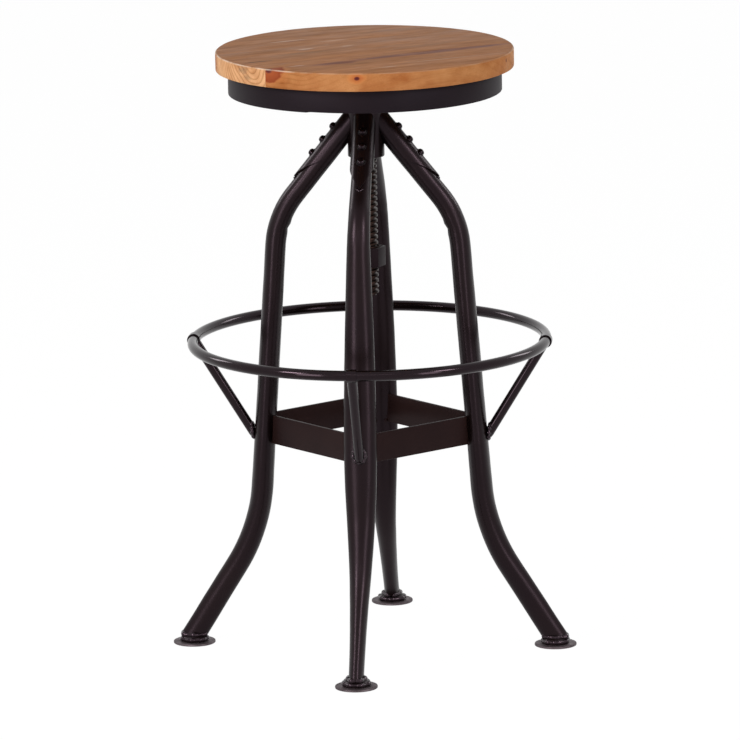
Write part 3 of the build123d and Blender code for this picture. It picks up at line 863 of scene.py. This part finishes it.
def makeFootrest():
    startFresh()
    bpy.ops.mesh.primitive_torus_add(
        major_radius=ring["radius"] * mm, minor_radius=ring["bar"] * mm,
        major_segments=ring["around"], minor_segments=ring["section"],
        location=(0, 0, ring["height"] * mm))
    bpy.ops.object.transform_apply(location=True)
    hoop = bpy.context.object
    hoop.name = hoop.data.name = "footrestRing"
    smooth(hoop, ring["shade"])
    dress(hoop, ringPaint, "base", ["footrest_ring"])
    path = ringPoints(toe["place"], toe["along"], toe["across"], toe["steps"])
    bead = drawBead("strutBead", path, toe["width"], toe["lumps"], toe["seed"])
    spreadWelds(bead, "footrestWelds", corners, weldPaint)


makeFootrest()
print("footrest made")


# feet: a thin disc, and rings of weld where boss and leg stand on it
# welds: height, half sizes along and across, lumps
foot = {"reach": 225.0, "radius": 26.0, "thickness": 2.6, "edge": 0.8, "edgeShare": 0.3, "lowEdge": 0.4,
        "steps": 72, "shade": 40, "bead": 6.0, "beadSteps": 96,
        "welds": [(5.7, 15.2, 15.2, 7), (11.2, 14.6, 10.4, 6)]}


def makeFeet():
    rim, high, edge, low = foot["radius"], foot["thickness"], foot["edge"], foot["lowEdge"]
    bulge = edge * foot["edgeShare"]
    disc = turnProfile("footDisc", [
        (0.0, 0.0), (rim - low, 0.0), (rim, low), (rim, high - edge), (rim - bulge, high - bulge),
        (rim - edge, high), (0.0, high)], foot["steps"])
    disc.location.x = foot["reach"] * mm
    pick(disc)
    bpy.ops.object.transform_apply(location=True)
    smooth(disc, foot["shade"])
    spreadRound(disc, "foot_plate_", "_disc", corners, bareSteel)
    beads = []
    for height, along, across, lumps in foot["welds"]:
        path = ringPoints((foot["reach"], 0, height), (along, 0, 0), (0, across, 0), foot["beadSteps"])
        beads.append(drawBead("footBead", path, foot["bead"], lumps, height))
    one = joinPieces(beads, "footBead")
    spreadWelds(one, "footWelds", corners, weldPaint)


makeFeet()
print("feet made")


# the CAD pieces that keep their shape
cadFinish = {
    "seat_spider": bandPaint, "seat_screws": zincSteel, "screw_flange": threadSteel,
    "flange_bolts": zincSteel, "stop_washer": threadSteel, "hub_sleeve": framePaint, "hub_bush": bushIron,
}
for name in corners:
    cadFinish["ring_strap_" + name] = ringPaint
    cadFinish["strut_" + name] = ringPaint
    cadFinish["foot_boss_" + name] = framePaint
for name, finish in cadFinish.items():
    nodes[name].data.materials.clear()
    nodes[name].data.materials.append(finish)
print("CAD pieces painted")


# camera: sizes in mm, angles in degrees, clipEnd in m
camera = {"lens": 375.25, "sensor": 36.0, "azimuth": 50.904, "distance": 9301.5, "height": 2274.6,
          "pitch": 11.713, "roll": -1.0, "clipEnd": 100}


def makeCamera():
    turn = math.radians(camera["azimuth"])
    place = Vector((math.sin(turn), -math.cos(turn), 0)) * camera["distance"] * mm
    place.z = camera["height"] * mm
    startFresh()
    bpy.ops.object.camera_add(location=place)
    eye = bpy.context.object
    eye.data.lens, eye.data.sensor_width = camera["lens"], camera["sensor"]
    eye.data.clip_end = camera["clipEnd"]
    aim = (Matrix.Rotation(turn, 4, "Z") @
           Matrix.Rotation(math.radians(90 - camera["pitch"]), 4, "X") @
           Matrix.Rotation(math.radians(camera["roll"]), 4, "Z"))
    eye.matrix_world = Matrix.Translation(place) @ aim
    bpy.context.scene.camera = eye


makeCamera()


def backgroundShare(tree):  # 1 for rays that look at the background, straight, in gloss or through glass
    rays = addNode(tree, "LightPath").outputs
    share = rays["Is Camera Ray"]
    for kind in ("Is Glossy Ray", "Is Transmission Ray"):
        share = addNode(tree, "Math", {0: share, 1: rays[kind]}, operation="MAXIMUM").outputs[0]
    return share


# matt white floor: looked at, it is white with the object's shadow faint on it, and it lights the
# object from below like pale paper
floor = {"size": 60.0, "color": "e6e6e6", "seenColor": "303030", "white": 0.985}


def makeFloor():
    startFresh()
    bpy.ops.mesh.primitive_plane_add(size=floor["size"])
    sheet = bpy.context.object
    sheet.name = "floor"
    finish = bpy.data.materials.new("matt_white_floor")
    finish.use_nodes = True
    tree = finish.node_tree
    tree.nodes.clear()
    plain = addNode(tree, "BsdfDiffuse", {"Color": hexColor(floor["color"])}).outputs[0]
    faint = addNode(tree, "BsdfDiffuse", {"Color": hexColor(floor["seenColor"])}).outputs[0]
    glow = addNode(tree, "Emission", {"Strength": floor["white"]}).outputs[0]
    white = addNode(tree, "AddShader", {0: faint, 1: glow}).outputs[0]
    both = addNode(tree, "MixShader", {0: backgroundShare(tree), 1: plain, 2: white}).outputs[0]
    addNode(tree, "OutputMaterial", {"Surface": both})
    sheet.data.materials.append(finish)


makeFloor()


# soft lamps round the object, under a white room that lights it weakly
# degrees from the camera's side, distance and height in m, width and height of the lamp in m, watts, tint
lamps = {
    "softboxLeft": (-37, 2.4, 0.66, 0.62, 1.26, 18, "fffafa"),
    "softboxRight": (36, 2.5, 0.66, 0.52, 1.26, 12, "fffafa"),
    "keyLeft": (-52, 2.3, 1.65, 0.55, 0.55, 28, "fffafa"),
    "keyRight": (49, 2.3, 1.65, 0.5, 0.5, 20, "fffafa"),
    "rimLeft": (-118, 2.6, 1.7, 0.5, 0.9, 14, "ffffff"),
    "rimRight": (120, 2.6, 1.7, 0.5, 0.9, 12, "ffffff"),
    "frontFill": (-4, 2.3, 1.75, 1.6, 0.12, 3, "fffafa"),
}
studio = {"aimHeight": 0.45, "roomLight": 0.2, "roomColor": "ffffff"}


def makeLights():
    for name, (side, distance, height, wide, high, power, tint) in lamps.items():
        turn = math.radians(camera["azimuth"] + side)
        place = Vector((math.sin(turn) * distance, -math.cos(turn) * distance, height))
        aim = Vector((0, 0, studio["aimHeight"])) - place
        startFresh()
        bpy.ops.object.light_add(type="AREA", location=place)
        light = bpy.context.object
        light.name = name
        light.data.shape = "RECTANGLE"
        light.data.size, light.data.size_y = wide, high
        light.data.energy = power
        light.data.color = hexColor(tint)[:3]
        light.rotation_euler = aim.to_track_quat("-Z", "Y").to_euler()
        light.visible_camera = False


makeLights()


def makeRoom():
    world = bpy.data.worlds.new("studio")
    bpy.context.scene.world = world
    world.use_nodes = True
    tree = world.node_tree
    tree.nodes.clear()
    strength = addNode(tree, "MapRange", {
        "Value": backgroundShare(tree), "To Min": studio["roomLight"], "To Max": 1.0}).outputs[0]
    sky = addNode(tree, "Background", {
        "Color": hexColor(studio["roomColor"]), "Strength": strength}).outputs[0]
    addNode(tree, "OutputWorld", {"Surface": sky})


makeRoom()
bpy.context.scene.view_settings.view_transform = "Standard"
print("stage ready")
